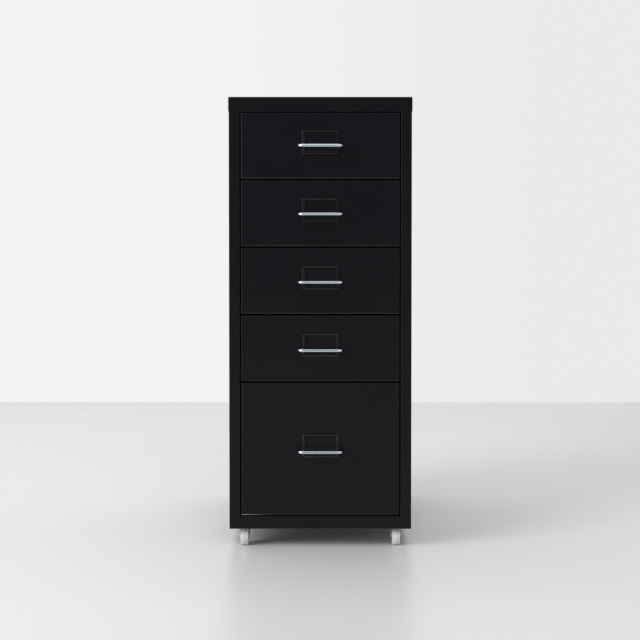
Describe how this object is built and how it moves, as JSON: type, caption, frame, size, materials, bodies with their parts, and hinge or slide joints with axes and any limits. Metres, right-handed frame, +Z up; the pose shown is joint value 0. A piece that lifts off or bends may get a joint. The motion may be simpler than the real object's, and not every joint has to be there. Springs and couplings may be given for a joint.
{
  "type": "drawer cabinet",
  "caption": "Narrow sheet-steel drawer cabinet: shallow drawers over a deep one on rails, wire handles, label holders and swivel casters.",
  "frame": {"origin": "on the floor, under the middle of the overall box", "axes": "+Z up, drawer fronts face -Y, +X to the right as one looks at the fronts"},
  "size_m": [0.28, 0.43, 0.69],
  "materials": {
    "black_steel": "fine-textured powder coat, satin black",
    "black_rails": "thin black powder coat, satin",
    "chrome": "bright polished plating",
    "zinc": "bright zinc plating",
    "white_nylon": "moulded, semi-gloss",
    "black_screws": "black oxide, satin"
  },
  "bodies": {
    "cabinet": {"left_side_panel": "black_steel", "right_side_panel": "black_steel", "back_panel": "black_steel", "top_cap": "black_steel", "base_pan": "black_steel", "back_screws": "black_screws", "top_guides": "black_rails", "left_rail_1": "black_rails", "right_rail_1": "black_rails", "left_rail_2": "black_rails", "right_rail_2": "black_rails", "left_rail_3": "black_rails", "right_rail_3": "black_rails", "left_rail_4": "black_rails", "right_rail_4": "black_rails", "left_rail_5": "black_rails", "right_rail_5": "black_rails", "caster_front_left_plate": "zinc", "caster_front_right_plate": "zinc", "caster_rear_left_plate": "zinc", "caster_rear_right_plate": "zinc", "caster_kingpins": "zinc", "caster_rivets": "zinc"},
    "drawer_1": {"drawer_1_front": "black_steel", "drawer_1_tray": "black_steel", "drawer_1_label_holder": "black_steel", "drawer_1_handle": "chrome", "drawer_1_handle_washers": "zinc"},
    "drawer_2": {"drawer_2_front": "black_steel", "drawer_2_tray": "black_steel", "drawer_2_label_holder": "black_steel", "drawer_2_handle": "chrome", "drawer_2_handle_washers": "zinc"},
    "drawer_3": {"drawer_3_front": "black_steel", "drawer_3_tray": "black_steel", "drawer_3_label_holder": "black_steel", "drawer_3_handle": "chrome", "drawer_3_handle_washers": "zinc"},
    "drawer_4": {"drawer_4_front": "black_steel", "drawer_4_tray": "black_steel", "drawer_4_label_holder": "black_steel", "drawer_4_handle": "chrome", "drawer_4_handle_washers": "zinc"},
    "drawer_5": {"drawer_5_front": "black_steel", "drawer_5_tray": "black_steel", "drawer_5_label_holder": "black_steel", "drawer_5_handle": "chrome", "drawer_5_handle_washers": "zinc"},
    "caster_front_left_swivel": {"caster_front_left_fork": "zinc", "caster_front_left_axle": "zinc"},
    "caster_front_left_wheel_body": {"caster_front_left_wheel": "white_nylon"},
    "caster_front_right_swivel": {"caster_front_right_fork": "zinc", "caster_front_right_axle": "zinc"},
    "caster_front_right_wheel_body": {"caster_front_right_wheel": "white_nylon"},
    "caster_rear_left_swivel": {"caster_rear_left_fork": "zinc", "caster_rear_left_axle": "zinc"},
    "caster_rear_left_wheel_body": {"caster_rear_left_wheel": "white_nylon"},
    "caster_rear_right_swivel": {"caster_rear_right_fork": "zinc", "caster_rear_right_axle": "zinc"},
    "caster_rear_right_wheel_body": {"caster_rear_right_wheel": "white_nylon"}
  },
  "joints": [
    {"name": "drawer_1_slide", "type": "slide", "parent": "cabinet", "child": "drawer_1", "axis": [0, -1, 0], "range_m": [0, 0.3]},
    {"name": "drawer_2_slide", "type": "slide", "parent": "cabinet", "child": "drawer_2", "axis": [0, -1, 0], "range_m": [0, 0.3]},
    {"name": "drawer_3_slide", "type": "slide", "parent": "cabinet", "child": "drawer_3", "axis": [0, -1, 0], "range_m": [0, 0.3]},
    {"name": "drawer_4_slide", "type": "slide", "parent": "cabinet", "child": "drawer_4", "axis": [0, -1, 0], "range_m": [0, 0.3]},
    {"name": "drawer_5_slide", "type": "slide", "parent": "cabinet", "child": "drawer_5", "axis": [0, -1, 0], "range_m": [0, 0.3]},
    {"name": "caster_front_left_swivel", "type": "hinge", "parent": "cabinet", "child": "caster_front_left_swivel", "pos_m": [-0.117, -0.149, 0.034], "axis": [0, 0, 1], "continuous": true},
    {"name": "caster_front_left_spin", "type": "hinge", "parent": "caster_front_left_swivel", "child": "caster_front_left_wheel_body", "pos_m": [-0.117, -0.162, 0.0155], "axis": [1, 0, 0], "continuous": true},
    {"name": "caster_front_right_swivel", "type": "hinge", "parent": "cabinet", "child": "caster_front_right_swivel", "pos_m": [0.117, -0.149, 0.034], "axis": [0, 0, 1], "continuous": true},
    {"name": "caster_front_right_spin", "type": "hinge", "parent": "caster_front_right_swivel", "child": "caster_front_right_wheel_body", "pos_m": [0.117, -0.162, 0.0155], "axis": [1, 0, 0], "continuous": true},
    {"name": "caster_rear_left_swivel", "type": "hinge", "parent": "cabinet", "child": "caster_rear_left_swivel", "pos_m": [-0.117, 0.175, 0.034], "axis": [0, 0, 1], "continuous": true},
    {"name": "caster_rear_left_spin", "type": "hinge", "parent": "caster_rear_left_swivel", "child": "caster_rear_left_wheel_body", "pos_m": [-0.117, 0.162, 0.0155], "axis": [1, 0, 0], "continuous": true},
    {"name": "caster_rear_right_swivel", "type": "hinge", "parent": "cabinet", "child": "caster_rear_right_swivel", "pos_m": [0.117, 0.175, 0.034], "axis": [0, 0, 1], "continuous": true},
    {"name": "caster_rear_right_spin", "type": "hinge", "parent": "caster_rear_right_swivel", "child": "caster_rear_right_wheel_body", "pos_m": [0.117, 0.162, 0.0155], "axis": [1, 0, 0], "continuous": true}
  ]
}
